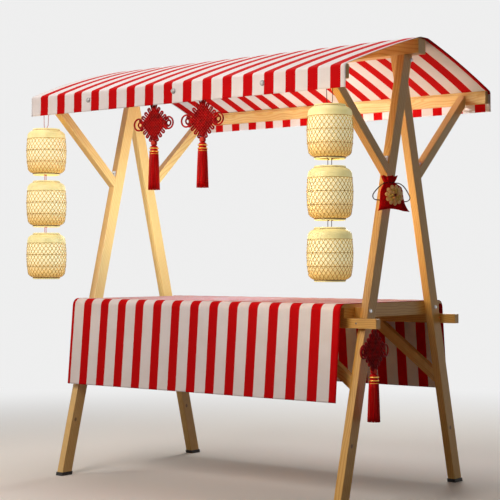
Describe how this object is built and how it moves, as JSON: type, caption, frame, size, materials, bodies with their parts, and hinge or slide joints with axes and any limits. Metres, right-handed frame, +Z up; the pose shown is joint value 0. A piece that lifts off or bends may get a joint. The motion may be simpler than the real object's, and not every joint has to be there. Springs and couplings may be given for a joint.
{
  "type": "wooden market stall",
  "caption": "Wooden market stall: two leaning leg frames with a ridge beam, striped cloth roof with valances, a braced table under a striped cloth, and hung lanterns, knots and a pouch.",
  "frame": {"origin": "on the floor, below the middle of the stall's bounding box", "axes": "+Z up, +X along the stall to its right-hand end as a customer sees it, -Y towards the customer"},
  "size_m": [1.8243, 1.2402, 1.9682],
  "materials": {
    "pine": "planed and clear-lacquered, satin",
    "foot_rubber": "matt moulded",
    "bracket_steel": "zinc plated",
    "striped_cloth": "plain weave in red and white stripes",
    "lantern_bamboo": "split and woven, lit from inside",
    "string": "thin twisted string",
    "red_cord": "satin cord and thread",
    "pouch_velvet": "velvet with a drawstring",
    "gold_trim": "gold thread and plated rings"
  },
  "bodies": {
    "root": {"leg_front_left": "pine", "leg_rear_left": "pine", "leg_front_right": "pine", "leg_rear_right": "pine", "foot_pads": "foot_rubber", "ridge_beam": "pine", "eave_beam_front": "pine", "eave_beam_rear": "pine", "roof_brace_front_left": "pine", "roof_brace_rear_left": "pine", "roof_brace_front_right": "pine", "roof_brace_rear_right": "pine", "brace_brackets": "bracket_steel", "table_rail_front": "pine", "table_rail_rear": "pine", "table_board_left": "pine", "table_board_right": "pine", "table_cross_boards": "pine", "table_top": "pine", "spacer_blocks": "pine", "table_brace_front_left": "pine", "table_brace_rear_left": "pine", "table_brace_front_right": "pine", "table_brace_rear_right": "pine", "roof_canopy": "striped_cloth", "table_cloth": "striped_cloth", "lantern_left_upper": "lantern_bamboo", "lantern_left_middle": "lantern_bamboo", "lantern_left_lower": "lantern_bamboo", "lantern_right_upper": "lantern_bamboo", "lantern_right_middle": "lantern_bamboo", "lantern_right_lower": "lantern_bamboo", "lantern_string_left": "string", "lantern_string_right": "string", "knot_left": "red_cord", "knot_right": "red_cord", "knot_rail": "red_cord", "tassel_left": "red_cord", "tassel_right": "red_cord", "tassel_rail": "red_cord", "pouch": "pouch_velvet"}
  },
  "joints": []
}
